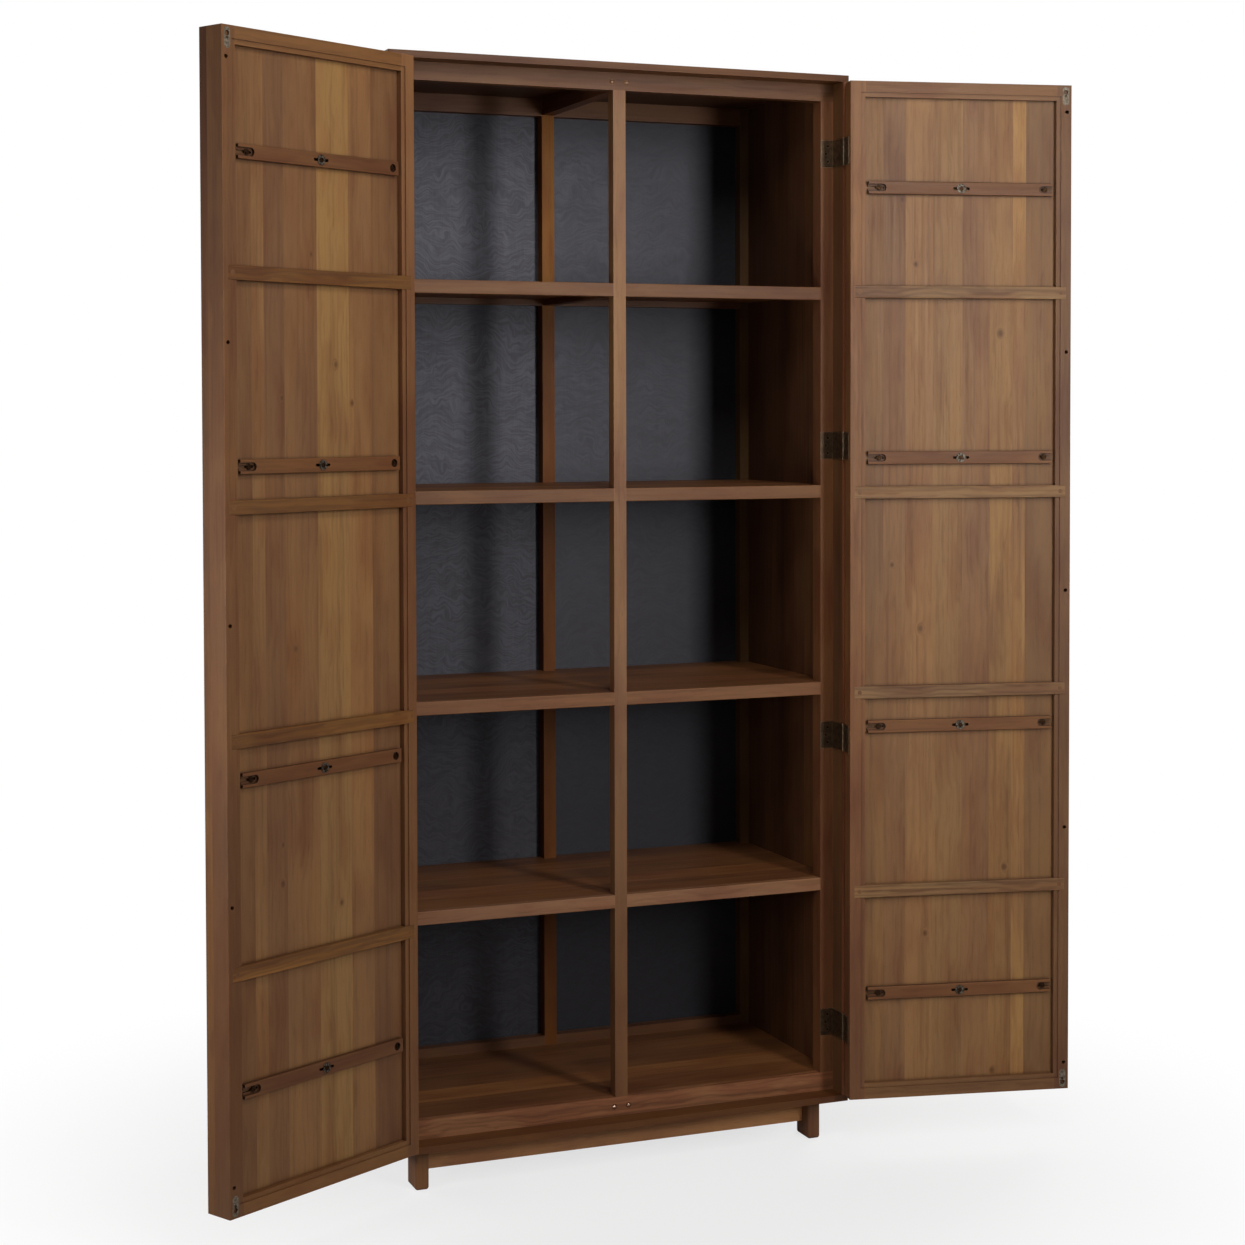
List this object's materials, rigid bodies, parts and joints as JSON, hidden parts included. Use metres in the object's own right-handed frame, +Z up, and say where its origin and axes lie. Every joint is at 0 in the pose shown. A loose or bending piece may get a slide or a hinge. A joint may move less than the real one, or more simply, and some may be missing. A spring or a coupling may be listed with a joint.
{
  "type": "chinese book cabinet",
  "caption": "Tall wooden book cabinet on short feet, with frame-and-panel doors swung open over shelves split by a centre stile and a dark back.",
  "frame": {"origin": "on the floor, under the middle of the bounding box of the cabinet with its doors open as pictured", "axes": "+X to the right as seen from the front, +Y from the front to the back, +Z up"},
  "size_m": [1.6658, 0.7008, 2],
  "materials": {
    "case_wood": "satin oiled",
    "base_wood": "satin oiled",
    "shelf_wood": "satin oiled",
    "door_frame_wood": "satin oiled",
    "door_panel_wood": "satin oiled",
    "back_panel_wood": "dark stained",
    "hinge_metal": "aged",
    "screw_steel": "aged",
    "washer_steel": "satin",
    "brass": "satin"
  },
  "bodies": {
    "carcass": {"back_bottom_rails": "case_wood", "back_centre_post": "case_wood", "back_corner_posts": "case_wood", "back_panels": "back_panel_wood", "back_top_rails": "case_wood", "base_aprons": "base_wood", "base_feet": "base_wood", "case_bottom": "case_wood", "case_hinge_leaves": "hinge_metal", "case_hinge_screws": "screw_steel", "case_left_side": "case_wood", "case_right_side": "case_wood", "case_top": "case_wood", "catch_cups": "brass", "centre_bearers": "shelf_wood", "deck_board": "shelf_wood", "face_bottom_rail": "case_wood", "face_centre_stile": "case_wood", "face_left_stile": "case_wood", "face_right_stile": "case_wood", "face_top_rail": "case_wood", "hinge_pins": "hinge_metal", "shelf_1": "shelf_wood", "shelf_2": "shelf_wood", "shelf_3": "shelf_wood", "shelf_4": "shelf_wood", "shelf_back_rails": "shelf_wood", "shelf_front_strips": "shelf_wood"},
    "left_door": {"left_door_batten_screws": "screw_steel", "left_door_batten_washers": "washer_steel", "left_door_battens": "door_frame_wood", "left_door_bottom_rail": "door_frame_wood", "left_door_cross_rail_plugs": "door_frame_wood", "left_door_cross_rails": "door_frame_wood", "left_door_free_stile": "door_frame_wood", "left_door_hinge_leaves": "hinge_metal", "left_door_hinge_screws": "screw_steel", "left_door_hinge_stile": "door_frame_wood", "left_door_panel": "door_panel_wood", "left_door_pull_strip": "door_frame_wood", "left_door_strike_plates": "brass", "left_door_top_rail": "door_frame_wood"},
    "right_door": {"right_door_batten_screws": "screw_steel", "right_door_batten_washers": "washer_steel", "right_door_battens": "door_frame_wood", "right_door_bottom_rail": "door_frame_wood", "right_door_cross_rail_plugs": "door_frame_wood", "right_door_cross_rails": "door_frame_wood", "right_door_free_stile": "door_frame_wood", "right_door_hinge_leaves": "hinge_metal", "right_door_hinge_screws": "screw_steel", "right_door_hinge_stile": "door_frame_wood", "right_door_panel": "door_panel_wood", "right_door_pull_strip": "door_frame_wood", "right_door_strike_plates": "brass", "right_door_top_rail": "door_frame_wood"},
    "catch_ball_lower_left": {"catch_ball_lower_left": "brass"},
    "catch_ball_lower_right": {"catch_ball_lower_right": "brass"},
    "catch_ball_upper_left": {"catch_ball_upper_left": "brass"},
    "catch_ball_upper_right": {"catch_ball_upper_right": "brass"}
  },
  "joints": [
    {"name": "left_door_hinge", "type": "hinge", "parent": "carcass", "child": "left_door", "pos_m": [-0.45233, -0.10553, 1.0325], "axis": [0, 0, -1], "range_deg": [-151.2, 28.8]},
    {"name": "right_door_hinge", "type": "hinge", "parent": "carcass", "child": "right_door", "pos_m": [0.41117, -0.10553, 1.0325], "axis": [0, 0, 1], "range_deg": [-168, 12]},
    {"name": "catch_ball_lower_left_press", "type": "slide", "parent": "carcass", "child": "catch_ball_lower_left", "axis": [0, 1, 0], "range_m": [0, 0.0025], "stiffness_N_per_m": 400},
    {"name": "catch_ball_lower_right_press", "type": "slide", "parent": "carcass", "child": "catch_ball_lower_right", "axis": [0, 1, 0], "range_m": [0, 0.0025], "stiffness_N_per_m": 400},
    {"name": "catch_ball_upper_left_press", "type": "slide", "parent": "carcass", "child": "catch_ball_upper_left", "axis": [0, 1, 0], "range_m": [0, 0.0025], "stiffness_N_per_m": 400},
    {"name": "catch_ball_upper_right_press", "type": "slide", "parent": "carcass", "child": "catch_ball_upper_right", "axis": [0, 1, 0], "range_m": [0, 0.0025], "stiffness_N_per_m": 400}
  ]
}
